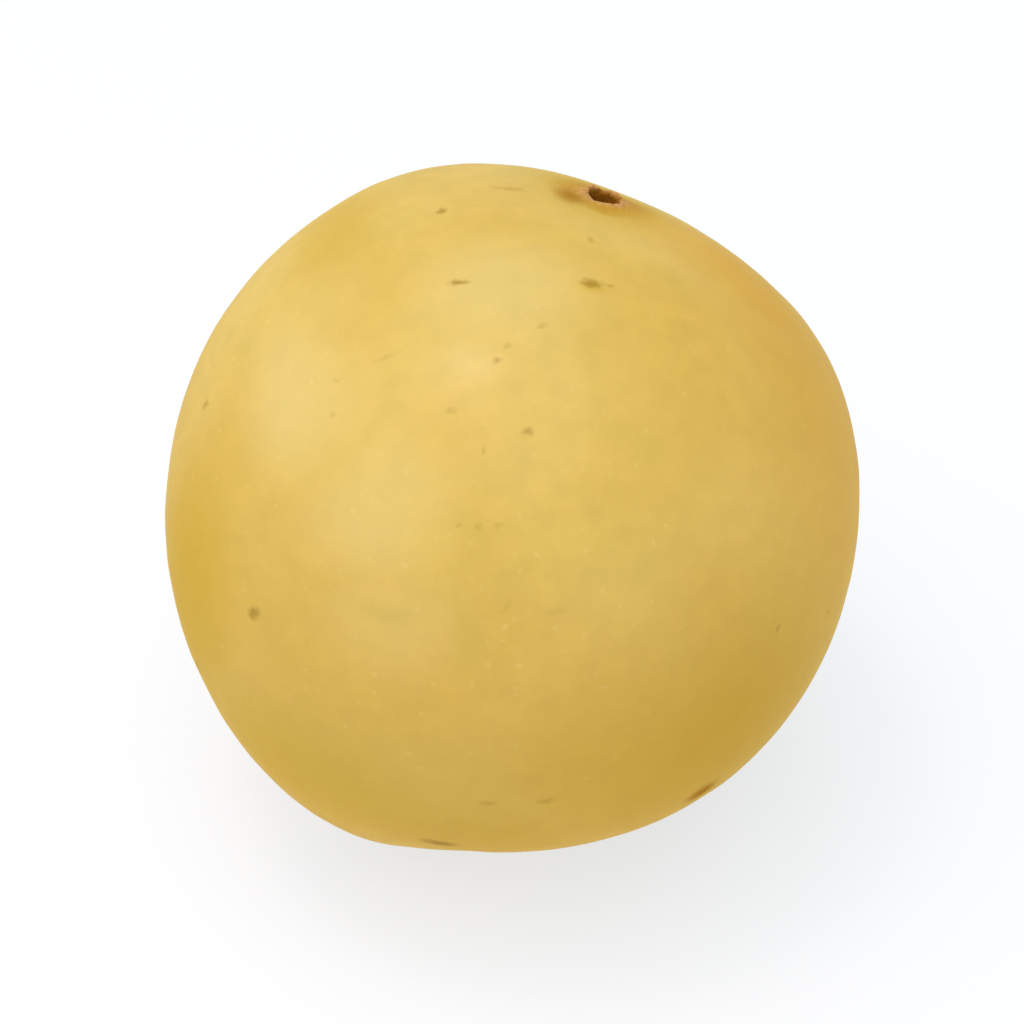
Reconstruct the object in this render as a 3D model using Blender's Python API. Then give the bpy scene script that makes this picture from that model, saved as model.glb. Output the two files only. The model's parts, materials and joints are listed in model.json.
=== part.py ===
"""A ripe yellow passion fruit, as picked: one whole fruit lying on a small flat spot.

Run with: blender --background --python part.py
Metres, +Z up. The origin is the middle of the flat spot, at the height of the surface it lies on.
The stem scar leans back and to the right (+Y and +X). The blossom end points down, forward and left.
"""

from math import atan2, cos, exp, hypot, pi, radians, sin, sqrt

import bmesh
import bpy
from mathutils import Quaternion, Vector

for left_over in list(bpy.data.objects):
    bpy.data.objects.remove(left_over)

MM = 0.001


def towards(azimuth, elevation):
    """The unit vector at this azimuth, from +X towards +Y, and this elevation, both in degrees."""
    a = radians(azimuth)
    e = radians(elevation)
    return Vector((cos(a) * cos(e), sin(a) * cos(e), sin(e)))


# ---------------------------------------------------------------- driving dimensions
GIRTH_RADIUS = 35.0 * MM  # half the width across the middle
SPOT_RADIUS = 7.0 * MM  # of the flat spot that the fruit rests on

# The two ends aren't quite opposite each other, so the fruit's axis is slightly bent.
STEM_END = towards(50.0, 65.5)
BLOSSOM_END = towards(219.0, -50.0)
DOWN = Vector((0.0, 0.0, -1.0))

SHOULDER_DROP = 1.6 * MM  # the fruit is flatter round the stem
SHOULDER_WIDTH = radians(28.0)
NOSE_RISE = 2.2 * MM  # and a little pointed at the blossom end
NOSE_WIDTH = radians(30.0)
LOBES = 3  # the flower's three seed lines still show as very faint lobes round the girth
LOBE_RISE = 0.15 * MM
LOBE_TURN = radians(20.0)

DIMPLE_DEPTH = 0.4 * MM  # a shallow dimple round the stem scar
DIMPLE_RADIUS = 6.0 * MM
SCAR_DEPTH = 1.0 * MM  # the round scar where the stalk came off
SCAR_RADIUS = 2.0 * MM
RIM_RISE = 0.4 * MM  # the low corky rim of the scar
RIM_RADIUS = 3.0 * MM
RIM_WIDTH = 0.8 * MM
NUB_RISE = 0.7 * MM  # the dry point that the flower left
NUB_RADIUS = 1.4 * MM

# Broad swells of the rind. Each has a direction, a rise (a flat's is below zero) and an angular width.
SWELLS = {
    "back_crown": (towards(112.0, 46.0), 0.7 * MM, radians(17.0)),
    "right_shoulder": (towards(37.0, 36.0), -0.6 * MM, radians(12.0)),
    "right_cheek": (towards(15.0, 17.0), 0.45 * MM, radians(18.0)),
    "left_cheek": (towards(198.0, -20.0), 0.2 * MM, radians(13.0)),
    "left_dent": (towards(172.0, 10.0), -0.2 * MM, radians(9.0)),
    "low_left": (towards(236.0, -48.0), 0.35 * MM, radians(8.0)),
    "low_front": (towards(260.0, -50.0), -1.6 * MM, radians(16.0)),
    "low_right": (towards(290.0, -45.0), -0.4 * MM, radians(13.0)),
    "right_haunch": (towards(335.0, -30.0), 0.2 * MM, radians(18.0)),
    "under_back": (towards(40.0, -66.0), 0.7 * MM, radians(24.0)),
}

SEGMENTS = 64
RINGS = 48
RING_CROWDING = 0.12  # how much closer the rings stand at the two ends, below 1 / (2 pi)
UNDERSIDE_REACH = radians(20.0)  # of the finer faces that give the flat spot a smooth outline
UNDERSIDE_CUTS = 2
MERGE_DISTANCE = 0.0001 * MM

RIND_COLOUR = (0.73, 0.52, 0.12, 1.0)
RIND_ROUGHNESS = 0.45


def hill(distance, width):
    """A smooth hill that is 1 high at distance 0 and has all but gone at twice its width."""
    return exp(-((distance / width) ** 2))


def rind_radius(direction, colatitude, longitude):
    """How far the rind lies from the middle. Colatitude is 0 at the stem end and pi at the blossom end."""
    from_stem = GIRTH_RADIUS * colatitude
    from_nub = GIRTH_RADIUS * (pi - colatitude)
    radius = GIRTH_RADIUS
    radius -= SHOULDER_DROP * hill(colatitude, SHOULDER_WIDTH)
    radius += NOSE_RISE * hill(pi - colatitude, NOSE_WIDTH)
    radius += LOBE_RISE * cos(LOBES * longitude + LOBE_TURN) * sin(colatitude) ** 2
    radius -= DIMPLE_DEPTH * hill(from_stem, DIMPLE_RADIUS)
    radius -= SCAR_DEPTH * hill(from_stem, SCAR_RADIUS)
    radius += RIM_RISE * hill(from_stem - RIM_RADIUS, RIM_WIDTH)
    radius += NUB_RISE * hill(from_nub, NUB_RADIUS)
    for place, rise, width in SWELLS.values():
        radius += rise * hill(direction.angle(place), width)
    return radius


def on_rind(grid):
    """Moves a point of an even ball, whose +Z end is the stem end, on to the rind of the bent fruit."""
    even = atan2(hypot(grid.x, grid.y), grid.z)
    colatitude = even - pi * RING_CROWDING * sin(2 * even)
    longitude = atan2(grid.y, grid.x)
    side = STEM_END.orthogonal().normalized()
    front = STEM_END.cross(side)
    across = side * cos(longitude) + front * sin(longitude)
    direction = STEM_END * cos(colatitude) + across * sin(colatitude)
    bend_axis = BLOSSOM_END.cross(STEM_END).normalized()
    bend = BLOSSOM_END.angle(-STEM_END)
    direction = Quaternion(bend_axis, bend * (1 - cos(colatitude)) / 2) @ direction
    return direction * rind_radius(direction, colatitude, longitude)


def is_underside(edge):
    return all(on_rind(vertex.co).angle(DOWN) < UNDERSIDE_REACH for vertex in edge.verts)


def add_rind(bm):
    """Adds an even ball with finer faces on its underside, and moves each vertex on to the rind."""
    bmesh.ops.create_uvsphere(bm, u_segments=SEGMENTS, v_segments=RINGS, radius=1.0)
    underside = [edge for edge in bm.edges if is_underside(edge)]
    bmesh.ops.subdivide_edges(bm, edges=underside, cuts=UNDERSIDE_CUTS, use_grid_fill=True)
    for vertex in bm.verts:
        vertex.co = on_rind(vertex.co)


def cut_resting_spot(bm):
    """Cuts the flat spot across the lowest point, and makes the middle of the spot the origin."""
    lowest = min(vertex.co.z for vertex in bm.verts)
    level = -sqrt(lowest**2 - SPOT_RADIUS**2)
    bmesh.ops.bisect_plane(
        bm,
        geom=bm.verts[:] + bm.edges[:] + bm.faces[:],
        dist=MERGE_DISTANCE,
        plane_co=(0.0, 0.0, level),
        plane_no=-DOWN,
        clear_inner=True,
    )
    outline = [edge for edge in bm.edges if edge.is_boundary]
    spot = bmesh.ops.edgeloop_fill(bm, edges=outline)["faces"][0]
    bmesh.ops.translate(bm, verts=bm.verts[:], vec=-spot.calc_center_median_weighted())


def rind_material():
    """Waxy yellow rind."""
    material = bpy.data.materials.new("rind")
    material.use_nodes = True
    shader = material.node_tree.nodes["Principled BSDF"]
    shader.inputs["Base Color"].default_value = RIND_COLOUR
    shader.inputs["Roughness"].default_value = RIND_ROUGHNESS
    shader.inputs["Metallic"].default_value = 0.0
    return material


def add_fruit():
    bm = bmesh.new()
    add_rind(bm)
    cut_resting_spot(bm)
    bmesh.ops.recalc_face_normals(bm, faces=bm.faces[:])
    mesh = bpy.data.meshes.new("passion_fruit")
    bm.to_mesh(mesh)
    bm.free()
    mesh.shade_smooth()
    mesh.materials.append(rind_material())
    bpy.context.collection.objects.link(bpy.data.objects.new("passion_fruit", mesh))


add_fruit()
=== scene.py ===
# %% [markdown]
# # A ripe yellow passion fruit
#
# This lesson finishes a passion fruit whose plain solid is already built. The solid gives the true size,
# the lean of the fruit and the flat spot that it lies on. It lacks what a hand or an eye would notice:
# the corky cup where the stalk came off, the dry tip that the flower left, the faint unevenness of the
# rind, and all of its colours and marks. Each step below adds one of them.
#
# Everything is in metres, with +Z up. The fruit stands on the level Z = 0.

# %% Load the plain solid
import json
from math import cos, radians, sin

import bmesh
import bpy
from mathutils import Matrix, Quaternion, Vector

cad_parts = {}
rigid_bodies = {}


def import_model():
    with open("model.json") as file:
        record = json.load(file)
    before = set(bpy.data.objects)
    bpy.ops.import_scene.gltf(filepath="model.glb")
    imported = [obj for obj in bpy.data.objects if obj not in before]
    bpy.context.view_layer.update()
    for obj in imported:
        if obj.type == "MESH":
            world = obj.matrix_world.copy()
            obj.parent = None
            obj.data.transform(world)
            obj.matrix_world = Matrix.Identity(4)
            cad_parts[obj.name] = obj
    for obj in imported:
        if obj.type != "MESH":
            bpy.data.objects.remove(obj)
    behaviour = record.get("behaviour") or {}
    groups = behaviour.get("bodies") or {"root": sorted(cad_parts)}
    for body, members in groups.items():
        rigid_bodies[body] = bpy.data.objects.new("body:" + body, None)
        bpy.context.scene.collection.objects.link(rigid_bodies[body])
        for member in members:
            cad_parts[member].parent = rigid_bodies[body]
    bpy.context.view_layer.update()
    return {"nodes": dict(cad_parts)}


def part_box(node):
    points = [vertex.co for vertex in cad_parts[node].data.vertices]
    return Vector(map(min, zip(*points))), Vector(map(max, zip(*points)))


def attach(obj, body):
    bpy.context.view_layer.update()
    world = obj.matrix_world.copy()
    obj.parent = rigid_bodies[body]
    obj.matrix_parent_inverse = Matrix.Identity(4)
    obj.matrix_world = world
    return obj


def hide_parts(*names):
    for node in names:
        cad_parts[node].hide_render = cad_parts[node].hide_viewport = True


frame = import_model()
solid = frame["nodes"]["passion_fruit"]

MM = 0.001
low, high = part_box("passion_fruit")
middle = (low + high) / 2
fruit_radius = (high.x - low.x) / 2
print("plain solid:", len(solid.data.polygons), "triangles,", round(2 * fruit_radius / MM, 1), "mm wide")

# %% [markdown]
# ## Finding the two ends
#
# A passion fruit has two ends: the stem end, where it hung from its stalk, and the blossom end opposite.
# This one lies tipped over, so its stem end leans back and to the right, and its blossom end is tucked
# under the left front. Measuring them on the solid is safer than typing their places, because the looks
# then follow the solid if it's ever changed. A ray from the middle, in each end's direction, finds them.

# %% Find the stem end and the blossom end
STEM_DIRECTION = (55.6, 61.6)  # azimuth from +X towards +Y, then elevation, in degrees
BLOSSOM_DIRECTION = (219.0, -48.9)


def towards(azimuth, elevation):
    """The unit vector at this azimuth and elevation, in degrees."""
    a = radians(azimuth)
    e = radians(elevation)
    return Vector((cos(a) * cos(e), sin(a) * cos(e), sin(e)))


def on_skin(piece, direction):
    """Where a ray from the middle of the fruit, in this direction, comes out of a piece."""
    return piece.ray_cast(middle, direction)[1].copy()


stem_place = on_skin(solid, towards(*STEM_DIRECTION))
blossom_place = on_skin(solid, towards(*BLOSSOM_DIRECTION))
stem_out = (stem_place - middle).normalized()
blossom_out = (blossom_place - middle).normalized()
for name, place in (("stem end", stem_place), ("blossom end", blossom_place)):
    print(name, "at", [round(value / MM, 1) for value in place], "mm")

# %% [markdown]
# ## The camera
#
# The fruit is seen from a hand's reach away, from 42 degrees above the table. A lens of 115 mm fills two
# thirds of the picture with it from there, where a shorter one would have to come so close that the near
# side swells.

# %% Add the camera
CAMERA_DIRECTION = towards(-90.0, 42.0)
CAMERA_DISTANCE = 330 * MM
LENS_MM = 115.0

bpy.ops.object.camera_add(
    location=middle + CAMERA_DIRECTION * CAMERA_DISTANCE,
    rotation=(-CAMERA_DIRECTION).to_track_quat("-Z", "Y").to_euler(),
)
camera = bpy.context.object
camera.name = "camera"
camera.data.lens = LENS_MM
bpy.context.scene.camera = camera
print("camera at", [round(value / MM) for value in camera.location], "mm")

# %% [markdown]
# ## A pale floor that has no edge
#
# The floor is a pale sheet, as on a studio's light table: flat where the fruit lies, and curved up all
# round, so that no horizon shows from any side. A flat plane would end in a hard line in the low views.
# It's made as a disc whose rim is extruded outwards and upwards along a quarter circle. It lies a hair
# below the fruit, so that two faces never share one place.

# %% Make the floor
FLOOR_RADIUS = 1.2
FLOOR_SIDES = 96
CURVE_RADIUS = 0.9
CURVE_STEPS = 12
FLOOR_GAP = 0.03 * MM

bpy.ops.object.select_all(action="DESELECT")
bpy.ops.mesh.primitive_circle_add(
    vertices=FLOOR_SIDES, radius=FLOOR_RADIUS, fill_type="NGON", location=(0, 0, -FLOOR_GAP)
)
floor = bpy.context.object
floor.name = "floor"
bpy.ops.object.transform_apply(location=True, rotation=True, scale=True)
bpy.ops.object.mode_set(mode="EDIT")
bpy.ops.mesh.select_all(action="SELECT")
bpy.ops.mesh.region_to_loop()
edge_radius = FLOOR_RADIUS
edge_height = 0.0
for step in range(1, CURVE_STEPS + 1):
    turn = radians(90.0) * step / CURVE_STEPS
    next_radius = FLOOR_RADIUS + CURVE_RADIUS * sin(turn)
    next_height = CURVE_RADIUS * (1 - cos(turn))
    bpy.ops.mesh.extrude_edges_move()
    bpy.ops.transform.resize(value=(next_radius / edge_radius, next_radius / edge_radius, 1.0))
    bpy.ops.transform.translate(value=(0, 0, next_height - edge_height))
    edge_radius = next_radius
    edge_height = next_height
bpy.ops.mesh.select_all(action="SELECT")
bpy.ops.mesh.normals_make_consistent(inside=True)
bpy.ops.object.mode_set(mode="OBJECT")
bpy.ops.object.shade_smooth()
print("floor:", len(floor.data.polygons), "faces")

# %% [markdown]
# ## Light
#
# The light is a softbox almost straight overhead, a little in front and to the left, in a pale room. It's
# wider than it's far away, so the shadow's edge is very soft. So wide a light gives wax no highlight, so a
# small lamp hangs a little behind its middle. The room fills the shadow, and the floor throws light back
# up.

# %% Add the lamps and the room
LAMP_DISTANCE = 1.1
LAMPS = {  # where it hangs as seen from the fruit, its width in m and its power in W
    "softbox": (towards(215.0, 75.0), 1.7, 10.4),
    "highlight_lamp": (towards(185.0, 77.0), 0.26, 1.1),
}
ROOM_STRENGTH = 0.355

for name, (direction, width, watts) in LAMPS.items():
    bpy.ops.object.light_add(
        type="AREA",
        location=middle + direction * LAMP_DISTANCE,
        rotation=(-direction).to_track_quat("-Z", "Y").to_euler(),
    )
    lamp = bpy.context.object
    lamp.name = name
    lamp.data.shape = "DISK"
    lamp.data.size = width
    lamp.data.energy = watts
    print(name, watts, "W at", LAMP_DISTANCE, "m")

room = bpy.data.worlds.new("pale_room")
room.use_nodes = True
room.node_tree.nodes["Background"].inputs["Color"].default_value = (1.0, 1.0, 1.0, 1.0)
room.node_tree.nodes["Background"].inputs["Strength"].default_value = ROOM_STRENGTH
bpy.context.scene.world = room
bpy.context.scene.view_settings.view_transform = "Standard"

# %% [markdown]
# ## The body of the fruit
#
# The body is one smooth closed skin. A ball of even squares with its poles at the fruit's two ends gives
# rings of edges just where the scar and the dry tip need them, so it's a better start than the solid's
# own triangles. The ball is pressed on to the solid with a Shrinkwrap modifier. It's pressed on to a
# rounded copy of the solid, because the solid's flat triangles would show as facets in the wax.

# %% Helpers that select
def only(piece):
    """Selects this object and no other, and makes it the one that the operators work on."""
    bpy.ops.object.select_all(action="DESELECT")
    piece.select_set(True)
    bpy.context.view_layer.objects.active = piece


def choose(kind, wanted):
    """In edit mode, selects only those verts, edges or faces that pass a test, and counts them."""
    bpy.ops.mesh.select_all(action="DESELECT")
    shape = bmesh.from_edit_mesh(bpy.context.object.data)
    found = [part for part in getattr(shape, kind) if wanted(part)]
    for part in found:
        part.select_set(True)
    bmesh.update_edit_mesh(bpy.context.object.data)
    return len(found)


# %% Round off a copy of the solid as a guide
SAME_PLACE = 0.01 * MM  # closer than this counts as one place

only(solid)
bpy.ops.object.duplicate()
guide = bpy.context.object
bpy.ops.object.mode_set(mode="EDIT")
bpy.ops.mesh.select_all(action="SELECT")
bpy.ops.mesh.remove_doubles(threshold=0.1 * SAME_PLACE)
bpy.ops.mesh.tris_convert_to_quads()
bpy.ops.object.mode_set(mode="OBJECT")
bpy.ops.object.modifier_add(type="SUBSURF")
bpy.ops.object.modifier_apply(modifier=guide.modifiers[0].name)
print("guide:", len(guide.data.polygons), "faces")

# %% [markdown]
# ### The ball
#
# The ball's poles have to lie on the two ends, which aren't quite opposite each other. So its upper pole
# is turned to the stem end, and its lower one is pushed to the blossom end with proportional editing,
# which takes the neighbours along by less and less. The rings are then drawn in towards each pole, because
# the small shapes there need a finer mesh than the plain sides do.

# %% Helper that pushes
def push(place, move, reach):
    """In edit mode, moves the vertex nearest to a place, and by less and less those within reach of it."""
    vertices = bmesh.from_edit_mesh(bpy.context.object.data).verts
    near = min((vert.co - place).length for vert in vertices)
    choose("verts", lambda vert: (vert.co - place).length <= near)
    bpy.ops.transform.translate(
        value=move,
        use_proportional_edit=True,
        proportional_edit_falloff="SMOOTH",
        proportional_size=reach,
    )


# %% Start with a ball whose poles are the two ends
SEGMENTS = 80
RINGS = 48
POLE_REACH = 1.5 * fruit_radius  # how far the lower pole takes the rest along as it moves
CROWDING = 0.5  # how far the rings near each end are drawn in, as a share of their size
CROWDING_REACH = 25 * MM

bpy.ops.object.select_all(action="DESELECT")
bpy.ops.mesh.primitive_uv_sphere_add(
    segments=SEGMENTS,
    ring_count=RINGS,
    radius=fruit_radius,
    location=middle,
    rotation=stem_out.to_track_quat("Z", "Y").to_euler(),
)
fruit = bpy.context.object
fruit.name = "whole_fruit"
bpy.ops.object.transform_apply(location=True, rotation=True, scale=True)

bpy.ops.object.mode_set(mode="EDIT")
lower_pole = middle - stem_out * fruit_radius
push(lower_pole, blossom_place - lower_pole, POLE_REACH)
for pole in (middle + stem_out * fruit_radius, blossom_place):
    choose("verts", lambda vert: (vert.co - pole).length < SAME_PLACE)
    bpy.ops.transform.resize(
        value=(CROWDING, CROWDING, CROWDING),
        center_override=pole,
        use_proportional_edit=True,
        proportional_edit_falloff="SMOOTH",
        proportional_size=CROWDING_REACH,
    )
bpy.ops.object.mode_set(mode="OBJECT")

bpy.ops.object.modifier_add(type="SHRINKWRAP")
fruit.modifiers[0].target = guide
bpy.ops.object.modifier_apply(modifier=fruit.modifiers[0].name)
bpy.data.objects.remove(guide)
print("ball:", len(fruit.data.polygons), "faces")

# %% [markdown]
# ### A flatter shoulder
#
# Behind the stem scar this fruit is slightly pressed in, as fruits are that grew against a branch. A dent
# could be sculpted, but one push inwards is enough, with a reach of a finger's width.

# %% Press the shoulder in
SHOULDER_DIRECTION = (55.0, 48.0)
SHOULDER_PRESSED = 0.50 * MM
SHOULDER_REACH = 10 * MM

shoulder_out = towards(*SHOULDER_DIRECTION)
shoulder_place = on_skin(fruit, shoulder_out)
bpy.ops.object.mode_set(mode="EDIT")
push(shoulder_place, shoulder_out * -SHOULDER_PRESSED, SHOULDER_REACH)
bpy.ops.object.mode_set(mode="OBJECT")
print("shoulder pressed in by", round(SHOULDER_PRESSED / MM, 2), "mm")

# %% [markdown]
# ## The stem scar and the dry tip
#
# When the fruit is ripe, the stalk lets go and leaves a round scar: a low corky rim with a rough brown
# cup in it. At the other end the flower's style has dried to a hard little point. Both are turned shapes
# on a round base, so both are made in one way. The rind is opened round the pole, and the open edge is
# extruded ring by ring, each ring at its own radius and height, until the last one is closed to a point.
# Insetting the faces would do it too, but then the radii couldn't be given.

# %% Sizes of the rings
END_REACH = 4 * MM  # each pole lies within this distance of its end
STEM_OPENED = 3  # rings of faces
STEM_RINGS = (  # radius, then height above the edge of the opening
    (3.10 * MM, 0.06 * MM),
    (2.50 * MM, 0.16 * MM),
    (2.05 * MM, 0.32 * MM),
    (1.78 * MM, 0.34 * MM),
    (1.55 * MM, 0.08 * MM),
    (1.42 * MM, -0.34 * MM),
    (1.20 * MM, -0.60 * MM),
    (0.80 * MM, -0.58 * MM),
    (0.40 * MM, -0.40 * MM),
)
BLOSSOM_OPENED = 2
BLOSSOM_RINGS = (
    (1.75 * MM, 0.02 * MM),
    (1.35 * MM, -0.06 * MM),
    (1.00 * MM, 0.05 * MM),
    (0.72 * MM, 0.42 * MM),
    (0.50 * MM, 0.62 * MM),
    (0.25 * MM, 0.58 * MM),
)
print("scar:", len(STEM_RINGS), "rings, dry tip:", len(BLOSSOM_RINGS), "rings")


# %% Close each end with its own rings
def close_end(place, outwards, opened, rings):
    """Takes away the innermost faces round an end, and closes it with rings. Gives the opening's middle."""
    choose("verts", lambda vert: len(vert.link_edges) == SEGMENTS and (vert.co - place).length < END_REACH)
    for _ in range(opened):
        bpy.ops.mesh.select_more()
    bpy.ops.mesh.delete(type="FACE")
    choose("edges", lambda edge: edge.is_boundary)
    shape = bmesh.from_edit_mesh(bpy.context.object.data)
    edge_points = [vert.co.copy() for vert in shape.verts if vert.select]
    centre = sum(edge_points, Vector()) / len(edge_points)
    radius = sum((point - centre).length for point in edge_points) / len(edge_points)
    print("opening:", round(radius / MM, 2), "mm radius")
    height = 0.0
    for next_radius, next_height in rings:
        shrink = next_radius / radius
        bpy.ops.mesh.extrude_edges_move()
        bpy.ops.transform.resize(value=(shrink, shrink, shrink), center_override=centre + outwards * height)
        bpy.ops.transform.translate(value=outwards * (next_height - height))
        radius = next_radius
        height = next_height
    bpy.ops.mesh.merge(type="CENTER")
    return centre


only(fruit)
bpy.ops.object.mode_set(mode="EDIT")
stem_centre = close_end(stem_place, stem_out, STEM_OPENED, STEM_RINGS)
blossom_centre = close_end(blossom_place, blossom_out, BLOSSOM_OPENED, BLOSSOM_RINGS)
bpy.ops.mesh.select_all(action="SELECT")
bpy.ops.mesh.normals_make_consistent(inside=False)
bpy.ops.object.mode_set(mode="OBJECT")
print("with both ends:", len(fruit.data.polygons), "faces")

# %% [markdown]
# ### Making the scar uneven
#
# A stalk doesn't break away along a turned line. The far side of this rim is torn up into lumps with a
# shallow gap between them, and the near side is worn low. Each lump or dip is one more push, which is what
# a maker would do with a finger in clay.

# %% Pull up and press down the rim of the scar
LUMP_REACH = 1.3 * MM
RIM_LUMPS = (  # turn round the scar in degrees, with 0 to the right and 90 to the back; then the rise
    (152.0, 0.26 * MM),
    (120.0, 0.40 * MM),
    (92.0, 0.16 * MM),
    (62.0, 0.42 * MM),
    (30.0, 0.30 * MM),
    (-40.0, -0.14 * MM),
    (-88.0, 0.06 * MM),
    (-130.0, -0.16 * MM),
    (185.0, 0.10 * MM),
)

stem_back = (Vector((0, 1, 0)) - stem_out * stem_out.y).normalized()
stem_right = stem_back.cross(stem_out)
rim_radius, rim_height = STEM_RINGS[2]
bpy.ops.object.mode_set(mode="EDIT")
for turn, rise in RIM_LUMPS:
    outwards = stem_right * cos(radians(turn)) + stem_back * sin(radians(turn))
    lump_place = stem_centre + outwards * rim_radius + stem_out * rim_height
    push(lump_place, stem_out * rise, LUMP_REACH)
bpy.ops.object.mode_set(mode="OBJECT")
print("rim:", len(RIM_LUMPS), "lumps and dips")

# %% [markdown]
# ## A living surface
#
# Fruit grows, so nothing on it is quite even. Two Subdivision Surface levels make the cage smooth, and
# three Displace modifiers then move the fine faces along their normals: broad shallow swells a finger's
# width apart, faint dimples like those in beaten metal, and a rough cork that is kept to the two dry ends
# by a vertex group. Real moved faces are better than bump here, because they show in the outline too.

# %% Subdivide the cage
SUBDIVISIONS = 2

bpy.ops.object.modifier_add(type="SUBSURF")
fruit.modifiers[0].levels = SUBDIVISIONS
fruit.modifiers[0].render_levels = SUBDIVISIONS
bpy.ops.object.modifier_apply(modifier=fruit.modifiers[0].name)
print("subdivided:", len(fruit.data.polygons), "faces")

# %% Mark the dry cork of the two ends
STEM_DRY = (2.3 * MM, 3.6 * MM)  # from the end, where the cork is whole and where it stops
BLOSSOM_DRY = (1.0 * MM, 2.0 * MM)


def fading(distance, full, none):
    """1 up to one distance, 0 past another, and a straight slope between them."""
    return min(1.0, max(0.0, (none - distance) / (none - full)))


cork = fruit.vertex_groups.new(name="dry_cork")
dry_vertices = 0
for vertex in fruit.data.vertices:
    at_stem = fading((vertex.co - stem_centre).length, *STEM_DRY)
    at_blossom = fading((vertex.co - blossom_centre).length, *BLOSSOM_DRY)
    dryness = max(at_stem, at_blossom)
    cork.add([vertex.index], dryness, "REPLACE")
    dry_vertices += dryness > 0
print("dry cork:", dry_vertices, "of", len(fruit.data.vertices), "vertices")

# %% Move the surface
UNEVENNESS = {  # pattern's size, height from lowest to highest, detail, and the group it's kept to
    "swells": (14.0 * MM, 0.26 * MM, 1, ""),
    "dimples": (4.2 * MM, 0.10 * MM, 1, ""),
    "cork": (0.8 * MM, 0.38 * MM, 3, "dry_cork"),
}

for name, (size, height, detail, group) in UNEVENNESS.items():
    pattern = bpy.data.textures.new(name, "CLOUDS")
    pattern.noise_scale = size
    pattern.noise_depth = detail
    bpy.ops.object.modifier_add(type="DISPLACE")
    displace = fruit.modifiers[-1]
    displace.texture = pattern
    displace.texture_coords = "LOCAL"
    displace.strength = height
    displace.vertex_group = group
    bpy.ops.object.modifier_apply(modifier=displace.name)
    print(name, "moved the surface by up to", round(height / 2 / MM, 2), "mm each way")

# %% [markdown]
# ### The flat spot
#
# The rind has settled a little under the fruit's own weight. Everything within a tenth of a millimetre of
# the table is pressed flat on to it by scaling its height to nothing, so the fruit truly rests.

# %% Press the underside flat
PRESSED = 0.12 * MM

bpy.ops.object.mode_set(mode="EDIT")
pressed = choose("verts", lambda vert: vert.co.z < PRESSED)
bpy.ops.transform.resize(value=(1.0, 1.0, 0.0), center_override=(0.0, 0.0, 0.0))
bpy.ops.object.mode_set(mode="OBJECT")
bpy.ops.object.shade_smooth()
print("pressed flat:", pressed, "vertices")

# %% [markdown]
# ## The rind's material
#
# What follows is one material, because the fruit has one skin. Yellow passion fruit has a thick leathery
# rind under a thin natural wax. The rind gives an even, faintly see-through yellow, and the wax gives a
# broad satin sheen with a small weak highlight. Growing and handling give the rest: paler pores, a few
# olive and brown specks, and dry brown cork where the stalk and the flower were.
#
# Three helpers come first. One turns the colours, written as sRGB hex values, into the linear ones that a
# shader needs. One adds a node with its settings and links. The third lays one colour over another where
# a mask is 1, which is most of what a painted surface needs.

# %% Helpers for materials
FACTOR, UNDER, OVER, MIXED = 0, 6, 7, 2  # the sockets that a Mix node of colours uses


def linear(hex_colour):
    """An sRGB colour such as "E3BF57" as the linear red, green, blue and alpha that a shader takes."""
    values = []
    for start in (0, 2, 4):
        value = int(hex_colour[start : start + 2], 16) / 255
        values.append(value / 12.92 if value <= 0.04045 else ((value + 0.055) / 1.055) ** 2.4)
    return (*values, 1.0)


def add(tree, kind, inputs, **settings):
    """Adds one node, makes its settings, and gives each input a value or links it to another's output."""
    node = tree.nodes.new("ShaderNode" + kind)
    for name, value in settings.items():
        setattr(node, name, value)
    for name, value in inputs.items():
        if isinstance(value, bpy.types.NodeSocket):
            tree.links.new(value, node.inputs[name])
        else:
            node.inputs[name].default_value = value
    return node


def lay_over(tree, colour, mask, hex_colour):
    """The colour so far, with another laid over it where the mask is 1."""
    layers = {FACTOR: mask, UNDER: colour, OVER: linear(hex_colour)}
    return add(tree, "Mix", layers, data_type="RGBA").outputs[MIXED]


# %% [markdown]
# ### Ground colour
#
# Ripe rind isn't one yellow. It drifts between a pale straw yellow and a warmer gold over a couple of
# centimetres, and it has a faint olive cast in places where it was shaded. It's a little deeper gold
# towards
# the blossom end, which lies underneath: partly the rind's own tone and partly painted shade on the
# underside.
# The drift is faint, or the fruit looks bruised. It's noise read from Object coordinates, turned into
# millimetres first, so each Scale below is simply one over the pattern's size in millimetres.

# %% Mix the ground colour
STRAW = "E3C265"
GOLD = "DFB755"
OLIVE_CAST = "CDB24E"
# the deep gold is partly the rind's own tone and partly painted shade on the underside
DEEP_GOLD_AND_SHADE = "CE9B2A"
DRIFT_SIZE = 22  # mm
SHADED_SIZE = 13
MIDRANGE = {"From Min": 0.3, "From Max": 0.7}  # noise seldom goes outside this
STRONGEST_CAST = 0.34
STRONGEST_GOLD_AND_SHADE = 0.55  # at the blossom end

rind = bpy.data.materials.new("waxy_yellow_rind")
rind.use_nodes = True
tree = rind.node_tree
place = add(tree, "TexCoord", {}).outputs["Object"]
in_mm = add(tree, "VectorMath", {0: place, "Scale": 1 / MM}, operation="SCALE").outputs[0]

drift = add(tree, "TexNoise", {"Vector": in_mm, "Scale": 1 / DRIFT_SIZE, "Detail": 1.0}).outputs[0]
drift = add(tree, "MapRange", {"Value": drift, **MIDRANGE}).outputs[0]
ground = {FACTOR: drift, UNDER: linear(STRAW), OVER: linear(GOLD)}
colour = add(tree, "Mix", ground, data_type="RGBA").outputs[MIXED]

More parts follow.
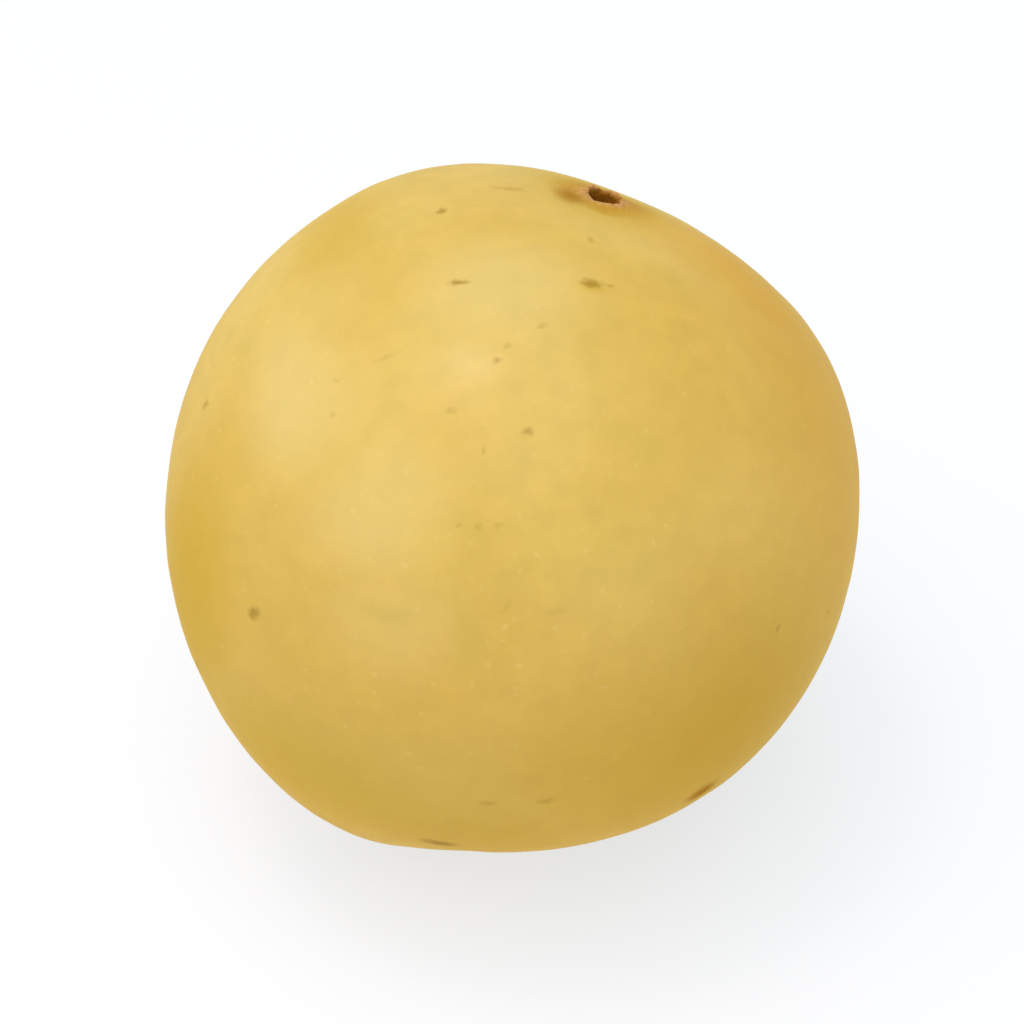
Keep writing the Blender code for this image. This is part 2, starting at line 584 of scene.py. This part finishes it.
shaded = add(tree, "TexNoise", {"Vector": in_mm, "Scale": 1 / SHADED_SIZE, "Detail": 2.0}).outputs[0]
cast = {"Value": shaded, "From Min": 0.52, "From Max": 0.75, "To Max": STRONGEST_CAST}
colour = lay_over(tree, colour, add(tree, "MapRange", cast).outputs[0], OLIVE_CAST)

# Deeper gold towards the blossom end, which lies underneath: partly the rind's own tone, partly painted
# shade
from_middle = add(tree, "VectorMath", {0: place, 1: middle}, operation="SUBTRACT").outputs[0]
to_blossom = add(tree, "VectorMath", {0: from_middle, 1: blossom_out}, operation="DOT_PRODUCT").outputs[1]
deeper_and_shaded = {"Value": to_blossom, "From Min": -0.4 * fruit_radius, "From Max": fruit_radius}
deeper_and_shaded["To Max"] = STRONGEST_GOLD_AND_SHADE
colour = lay_over(tree, colour, add(tree, "MapRange", deeper_and_shaded).outputs[0], DEEP_GOLD_AND_SHADE)
print("ground colour:", len(tree.nodes), "nodes so far")

# %% [markdown]
# ### Pores and mottling
#
# Close up, the rind is finely mottled and dotted with pores that are a shade paler than the skin between
# them, about one every couple of millimetres. The pores are the cells of a Voronoi texture: the distance
# to a cell's middle gives a dot, and the cell's own random colour decides how strong that dot is, so that
# they aren't all alike. A few cells of a much larger Voronoi texture become the dark specks of old insect
# bites. All small marks are read at slightly uneven coordinates, which frays their edges.

# %% Add the mottling
MOTTLE_SIZE = 2.6  # mm
MOTTLE_SHADES = (0.965, 1.035)

mottle = add(tree, "TexNoise", {"Vector": in_mm, "Scale": 1 / MOTTLE_SIZE, "Detail": 3.0}).outputs[0]
lightness = {"Value": mottle, **MIDRANGE, "To Min": MOTTLE_SHADES[0], "To Max": MOTTLE_SHADES[1]}
lightness = add(tree, "MapRange", lightness).outputs[0]
colour = add(tree, "VectorMath", {0: colour, "Scale": lightness}, operation="SCALE").outputs[0]

# %% Make uneven coordinates for the small marks
FRAY_SIZE = 0.7  # mm
FRAY = 0.9  # mm

wobble = add(tree, "TexNoise", {"Vector": in_mm, "Scale": 1 / FRAY_SIZE, "Detail": 2.0}).outputs[1]
wobble = add(tree, "VectorMath", {0: wobble, 1: (0.5, 0.5, 0.5)}, operation="SUBTRACT").outputs[0]
wobble = add(tree, "VectorMath", {0: wobble, "Scale": FRAY}, operation="SCALE").outputs[0]
uneven_mm = add(tree, "VectorMath", {0: in_mm, 1: wobble}, operation="ADD").outputs[0]
print("mottled every", MOTTLE_SIZE, "mm, frayed every", FRAY_SIZE, "mm")

# %% Add the pores and the specks
DOTS = {  # spacing and radius in mm, strength of the strongest, share of cells with none, and colour
    "pores": (1.5, 0.34, 0.30, 0.10, "ECD383"),
    "specks": (8.0, 0.42, 0.60, 0.62, "93741F"),
}
WHOLE_WITHIN = 0.4  # share of its radius within which a dot is at its strongest

for name, (spacing, radius, strongest, none_share, hex_colour) in DOTS.items():
    cells = add(tree, "TexVoronoi", {"Vector": uneven_mm, "Scale": 1 / spacing})
    edge = radius / spacing
    dot = {"Value": cells.outputs["Distance"], "From Min": edge, "From Max": WHOLE_WITHIN * edge}
    dot = add(tree, "MapRange", dot).outputs[0]
    chance = add(tree, "SeparateColor", {"Color": cells.outputs["Color"]}).outputs[0]
    share = {"Value": chance, "From Min": none_share, "From Max": 1.0, "To Max": strongest}
    share = add(tree, "MapRange", share).outputs[0]
    dots = add(tree, "Math", {0: dot, 1: share}, operation="MULTIPLY").outputs[0]
    colour = lay_over(tree, colour, dots, hex_colour)
    print(name, "every", spacing, "mm")
print("with pores and specks:", len(tree.nodes), "nodes so far")

# %% [markdown]
# ### Marks
#
# Some marks are too particular for a random pattern: the olive dashes and dots where leaves rubbed, the
# scuffs of handling, and a brown bruise low on the right. Broad ones are laid too: warm flushes where the
# fruit ripened unevenly, and painted light as well, with pale places of painted light on the upper left,
# warm and orange places of painted reflected light at the edges, and deep places of painted shade low
# down. They could be painted on an image, but then the fruit would need one. Here each mark is an ellipse
# laid on the skin instead. A ray from the middle finds its place, and a Mapping node turns and stretches
# the coordinates so that the mark's edge is everywhere at distance 1 from its middle.

# %% Helper that lays ellipses on the skin
def ellipses(coordinates, softness, marks):
    """Adds the nodes of one group of marks. The mask is 0 outside them and each one's strength inside."""
    mask = 0.0
    for azimuth, elevation, length, width, turn, strength in marks:
        outwards = towards(azimuth, elevation)
        mark_place = on_skin(fruit, outwards)
        level = Vector((0, 0, 1)).cross(outwards).normalized()
        along = Quaternion(outwards, radians(turn)) @ level
        axes = Matrix((along, outwards.cross(along), outwards)).transposed()
        ellipse = {
            "Vector": coordinates,
            "Location": mark_place / MM,
            "Rotation": axes.to_euler(),
            "Scale": (length / 2, width / 2, length / 2),
        }
        ellipse = add(tree, "Mapping", ellipse, vector_type="TEXTURE").outputs[0]
        distance = add(tree, "VectorMath", {0: ellipse}, operation="LENGTH").outputs[1]
        inside = {"Value": distance, "From Min": 1.0, "From Max": 1.0 - softness, "To Max": strength}
        inside = add(tree, "MapRange", inside, interpolation_type="SMOOTHSTEP").outputs[0]
        mask = add(tree, "Math", {0: mask, 1: inside}, operation="MAXIMUM").outputs[0]
    return mask


# %% Pale places, warm flushes and olive patches, with painted light, painted reflected light and painted shade
# Each group has its colour, the softness of its edges, and its marks. A mark has its azimuth and elevation,
# its length and width in mm, its turn in degrees from level, and its strength.
BROAD_MARKS = {
    # painted light: the upper left made paler where the lamp falls on it
    "pale places of painted light": (
        "EED890",
        0.9,
        (
            (262, 80, 26, 18, 0, 0.42),
            (242, 38, 22, 20, 0, 0.34),
            (250, 23, 22, 18, 0, 0.20),
            (192, 60, 22, 14, 0, 0.24),
            (211, 48, 28, 20, -20, 0.46),
            (115, 15, 30, 22, 60, 0.30),
        ),
    ),
    # partly the fruit's own flushes, as round the scar, and partly painted warm reflected light at the left
    # edge
    "warm flushes and painted reflected light": (
        "CFA41E",
        0.9,
        (
            (204, 3, 46, 27, 90, 0.85),
            (156, 57, 36, 16, 30, 0.50),
            (230, -17, 42, 26, 0, 0.75),
            (56, 60, 25, 21, -60, 1.00),
            (322, 74, 4.2, 2.4, -52, 0.40),
            (110, -20, 40, 28, 0, 0.50),
            (60, -30, 36, 22, 0, 0.50),
        ),
    ),
    # partly the fruit's own flush and partly painted warm reflected light on the right side
    "orange flushes and painted reflected light": (
        "E0A524",
        0.9,
        (
            (356, 16, 72, 58, 90, 0.58),
            (13, 46, 36, 22, 60, 0.62),
        ),
    ),
    # painted shade: the lower sides made deeper where less light reaches them
    "painted shade low down": (
        "C79914",
        0.9,
        (
            (308, -8, 58, 52, 0, 0.80),
            (264, -24, 34, 24, 0, 0.60),
            (150, -30, 34, 26, 0, 0.40),
        ),
    ),
    "olive patches": (
        "BFA440",
        0.8,
        (
            (249, 24.2, 8.5, 3.4, 0, 0.18),
            (248, 17.7, 6.0, 2.6, 0, 0.14),
            (263, 22.7, 9.0, 5.5, 90, 0.17),
            (258, 4.9, 7.0, 4.0, 60, 0.16),
            (250, -9, 54, 28, 0, 0.30),
            (334, 60.4, 5.0, 2.2, -50, 0.18),
            (60, 20, 12.0, 5.0, 20, 0.26),
            (140, 35, 16.0, 7.0, -30, 0.24),
        ),
    ),
}
for name, (hex_colour, softness, marks) in BROAD_MARKS.items():
    colour = lay_over(tree, colour, ellipses(in_mm, softness, marks), hex_colour)
    print(len(marks), name)

# %% Dashes, dots and streaks
SMALL_MARKS = {
    "olive-brown dashes and dots": (
        "9A740C",
        0.85,
        (
            (140.3, 75.5, 1.8, 1.6, 0, 0.60),
            (230.8, 77.1, 2.8, 1.2, 37, 0.67),
            (324.1, 74.6, 3.2, 1.9, -52, 0.65),
            (330.4, 72.4, 1.2, 0.8, -58, 0.38),
            (283.8, 70.8, 2.0, 0.8, 20, 0.27),
            (264.6, 65.1, 1.3, 1.1, 30, 0.47),
            (268.5, 67.6, 1.4, 0.6, 40, 0.25),
            (253.4, 56.3, 1.8, 1.0, 16, 0.27),
            (273.9, 53.9, 1.5, 1.3, 0, 0.49),
            (227.4, 60.5, 4.4, 0.7, 47, 0.13),
            (219.1, 53.6, 1.4, 0.8, 45, 0.18),
            (224.1, 48.9, 1.0, 0.9, 0, 0.18),
            (223.9, 13.8, 2.6, 1.8, 50, 0.67),
            (188.9, 31.2, 2.2, 1.4, 60, 0.47),
            (10.0, 77.2, 1.6, 1.3, 0, 0.36),
            (259.9, 39.5, 1.0, 0.7, 0, 0.16),
            (263.5, 39.7, 1.2, 0.8, 0, 0.18),
            (267.5, 39.9, 1.2, 0.8, 0, 0.20),
            (269.2, 27.7, 2.4, 0.9, 52, 0.15),
            (277.5, 26.7, 3.0, 0.9, 3, 0.11),
            (317.1, 10.1, 1.4, 1.0, 20, 0.40),
            (275.3, -10.1, 2.6, 1.3, 10, 0.38),
            (266.2, -10.3, 3.0, 1.0, 0, 0.29),
            (256.8, -28.0, 5.6, 3.0, -3, 0.81),
            (96.0, 28.0, 1.3, 1.0, 40, 0.78),
            (70.0, 8.0, 2.4, 0.8, 20, 0.62),
            (124.0, 12.0, 0.9, 0.8, 0, 0.67),
            (45.0, -12.0, 1.2, 0.9, 0, 0.62),
            (150.0, -18.0, 2.6, 0.9, -35, 0.56),
            (172.0, 22.0, 0.8, 0.7, 0, 0.56),
            (18.0, 5.0, 1.2, 0.7, 70, 0.56),
        ),
    ),
    "green-brown streaks": (
        "5E5420",
        0.7,
        (
            (78.0, -30.0, 5.0, 1.2, 15, 0.55),
            (160.0, -42.0, 4.0, 1.6, -20, 0.50),
        ),
    ),
}
for name, (hex_colour, softness, marks) in SMALL_MARKS.items():
    colour = lay_over(tree, colour, ellipses(uneven_mm, softness, marks), hex_colour)
    print(len(marks), name)

# %% Scuffs of handling
SCUFF_TAN = "A6731F"
SCUFF_SOFTNESS = 0.9
SCUFFS = (
    (63.5, 68.0, 7.4, 4.6, -63, 0.85),  # the brown smudge beside the stem scar
    (305.8, -23.3, 5.2, 6.0, 25, 0.95),  # the bruise low on the right
    (92.0, 72.0, 5.0, 1.6, -2, 0.30),
    (84.0, -2.0, 11.0, 0.6, 32, 0.38),
    (88.0, -5.0, 8.0, 0.5, 36, 0.30),
    (30.0, 22.0, 6.0, 0.6, -40, 0.34),
    (132.0, 40.0, 7.0, 0.7, 12, 0.34),
    (205.0, -12.0, 5.0, 0.6, 60, 0.30),
)
scuffed = ellipses(uneven_mm, SCUFF_SOFTNESS, SCUFFS)
colour = lay_over(tree, colour, scuffed, SCUFF_TAN)
print(len(SCUFFS), "scuffs")
print("with marks:", len(tree.nodes), "nodes so far")

# %% [markdown]
# ### Cork
#
# Where the stalk let go, the fruit has healed over with cork. It's dark brown at the bottom of the cup, and
# it fades into the rind round that. The tops of the torn rim are pale pinkish tan, a painted highlight
# where the light catches them. A colour ramp over the distance from one point says so most simply, and its
# alpha is the mask that lays the cork on the rind. The point lies under the cup and slightly to its back,
# so that the tops of the rim's lumps are further from it than the walls of the cup are, and come out pale
# with the painted highlight. The dry tip at the blossom end has a smaller ramp of its own.
# Noise is added to the distance first, because a ramp alone would draw a target.

# %% Colour the two ends
BLOTCH_SIZE = 1.1  # mm
BLOTCH_SHIFT = 0.6  # how far the blotches push the ramp in and out, in mm
FIBRE_SIZE = 0.3
FIBRE_SHADES = (0.76, 1.2)
RAMP_LENGTH = 7.0  # mm from the point to the end of its ramp
STEM_POINT = (-1.5 * MM, 0.35 * MM)  # outwards and backwards from the middle of the cup's edge
STEM_CORK_AND_RIM_HIGHLIGHT = (  # distance in mm, colour, strength
    (0.0, "5C370D", 1.0),
    (1.6, "734610", 1.0),
    (2.1, "865413", 1.0),
    (2.4, "A06C2A", 1.0),
    # the rim's pale stops are a painted highlight on the tops of its lumps
    (2.75, "CF9B60", 1.0),
    (3.15, "D09C58", 0.85),
    (3.6, "C48C38", 0.60),
    (4.4, "BE8630", 0.35),
    (6.4, "BE8630", 0.0),
)
BLOSSOM_CORK = (
    (0.0, "5A3D1C", 1.0),
    (0.8, "7B5728", 1.0),
    (1.3, "A0783C", 0.95),
    (1.9, "C0974A", 0.6),
    (3.6, "CDA44C", 0.0),
)

blotches = add(tree, "TexNoise", {"Vector": in_mm, "Scale": 1 / BLOTCH_SIZE, "Detail": 3.0}).outputs[0]
blotches = {"Value": blotches, "To Min": -BLOTCH_SHIFT, "To Max": BLOTCH_SHIFT}
blotches = add(tree, "MapRange", blotches).outputs[0]
fibres = add(tree, "TexNoise", {"Vector": in_mm, "Scale": 1 / FIBRE_SIZE, "Detail": 2.0}).outputs[0]
fibre_shade = {"Value": fibres, **MIDRANGE, "To Min": FIBRE_SHADES[0], "To Max": FIBRE_SHADES[1]}
fibre_shade = add(tree, "MapRange", fibre_shade).outputs[0]
# the point lies under the cup, so the rim's tops come out pale as a painted highlight
stem_point = stem_centre + stem_out * STEM_POINT[0] + stem_back * STEM_POINT[1]
cork_mask = 0.0
for point, stops in ((stem_point, STEM_CORK_AND_RIM_HIGHLIGHT), (blossom_centre, BLOSSOM_CORK)):
    distance = add(tree, "VectorMath", {0: in_mm, 1: point / MM}, operation="DISTANCE").outputs[1]
    distance = add(tree, "Math", {0: distance, 1: blotches}, operation="ADD").outputs[0]
    distance = add(tree, "Math", {0: distance, 1: RAMP_LENGTH}, operation="DIVIDE").outputs[0]
    ramp = add(tree, "ValToRGB", {"Fac": distance})
    elements = ramp.color_ramp.elements
    elements.remove(elements[1])
    for number, (stop, hex_colour, strength) in enumerate(stops):
        element = elements.new(stop / RAMP_LENGTH) if number else elements[0]
        element.color = (*linear(hex_colour)[:3], strength)
    fibrous = {0: ramp.outputs["Color"], "Scale": fibre_shade}
    fibrous = add(tree, "VectorMath", fibrous, operation="SCALE").outputs[0]
    layers = {FACTOR: ramp.outputs["Alpha"], UNDER: colour, OVER: fibrous}
    colour = add(tree, "Mix", layers, data_type="RGBA").outputs[MIXED]
    cork_mask = add(tree, "Math", {0: cork_mask, 1: ramp.outputs["Alpha"]}, operation="MAXIMUM").outputs[0]
print("with cork:", len(tree.nodes), "nodes so far")

# %% [markdown]
# ### Wax, skin texture and glow
#
# The natural wax is thin and a little worn, so the sheen is satin: fairly rough rind under a weak coat that
# is smoother. The rind's own gloss is off, because it lies under the wax, where no air touches it. The
# coat's IOR of 2.0 is above real wax's 1.44, and its weight is low to make up for that: so the sheen stays
# even from the middle of the fruit to its edge. Cork and scuffed skin have no wax and are quite matt.
#
# Two bumps lie in the wax: an orange-peel grain just over a millimetre across that breaks up the
# highlight, and a finer grain that shows only close up. The Bump node is given a distance of one
# millimetre, so its height is in millimetres too. A little light also enters the rind and comes out again
# close by, which softens the edges of shadows on it.

# %% Wax, grain and glow
RIND_ROUGHNESS = (0.46, 0.54)  # where the wax is whole and where it's worn
CORK_ROUGHNESS = 0.85
WAX_COAT = 0.18
WAX_ROUGHNESS = 0.26
WAX_IOR = 2.0
GRAINS = (  # mm across, mm high, detail
    (1.3, 0.055, 2.0),  # orange peel
    (0.4, 0.010, 1.0),
)
CORK_GRAIN = 0.10  # mm high
LIGHT_LET_IN = 0.15  # share of the light that enters the rind
LIGHT_REACH = 1.2 * MM
REACH_OF_COLOURS = (1.0, 0.55, 0.2)  # red, green and blue, as shares of that reach

shader = tree.nodes["Principled BSDF"]
tree.links.new(colour, shader.inputs["Base Color"])

dry = add(tree, "Math", {0: cork_mask, 1: scuffed}, operation="MAXIMUM").outputs[0]
worn = {"Value": mottle, **MIDRANGE, "To Min": RIND_ROUGHNESS[0], "To Max": RIND_ROUGHNESS[1]}
rind_roughness = add(tree, "MapRange", worn).outputs[0]
rough = {0: dry, 2: rind_roughness, 3: CORK_ROUGHNESS}  # the sockets that a Mix node of numbers uses
tree.links.new(add(tree, "Mix", rough).outputs[0], shader.inputs["Roughness"])
coat = {"Value": dry, "To Min": WAX_COAT, "To Max": 0.0}
tree.links.new(add(tree, "MapRange", coat).outputs[0], shader.inputs["Coat Weight"])

corky = add(tree, "Math", {0: fibres, 1: cork_mask}, operation="MULTIPLY").outputs[0]
grain = add(tree, "Math", {0: corky, 1: CORK_GRAIN}, operation="MULTIPLY").outputs[0]
for size, height, detail in GRAINS:
    noise = add(tree, "TexNoise", {"Vector": in_mm, "Scale": 1 / size, "Detail": detail}).outputs[0]
    grain = add(tree, "Math", {0: noise, 1: height, 2: grain}, operation="MULTIPLY_ADD").outputs[0]
bump = add(tree, "Bump", {"Height": grain, "Distance": MM})
tree.links.new(bump.outputs["Normal"], shader.inputs["Normal"])

shader.inputs["Specular IOR Level"].default_value = 0.0
shader.inputs["Coat Roughness"].default_value = WAX_ROUGHNESS
shader.inputs["Coat IOR"].default_value = WAX_IOR
shader.inputs["Subsurface Weight"].default_value = LIGHT_LET_IN
shader.inputs["Subsurface Radius"].default_value = REACH_OF_COLOURS
shader.inputs["Subsurface Scale"].default_value = LIGHT_REACH
fruit.data.materials.append(rind)
print("rind:", len(tree.nodes), "nodes")

# %% [markdown]
# ## The floor's material
#
# The floor is a light table: a sheet of opal acrylic with an even light under it. It glows all over, so
# the shadow on it stays pale, and its top is matt, so the fruit isn't mirrored in it. The sheet is
# slightly warm and the light under it slightly cool. Together they're white where the lamps shine, and in
# the shadow the cool glow balances the yellow light that the fruit throws down.

# %% Floor finish
WARM_OPAL = "B2A49C"
COOL_LIGHT = "E4F4FF"
GLOW = 0.70
MATT = 0.9
WEAK_GLOSS = 0.1

acrylic = bpy.data.materials.new("matt_opal_acrylic")
acrylic.use_nodes = True
surface = acrylic.node_tree.nodes["Principled BSDF"].inputs
surface["Base Color"].default_value = linear(WARM_OPAL)
surface["Roughness"].default_value = MATT
surface["Specular IOR Level"].default_value = WEAK_GLOSS
surface["Emission Color"].default_value = linear(COOL_LIGHT)
surface["Emission Strength"].default_value = GLOW
floor.data.materials.append(acrylic)
print("floor glows at", GLOW)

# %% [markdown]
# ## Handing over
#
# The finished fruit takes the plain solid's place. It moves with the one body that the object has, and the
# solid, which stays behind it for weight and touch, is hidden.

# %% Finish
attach(fruit, "root")
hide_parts("passion_fruit")
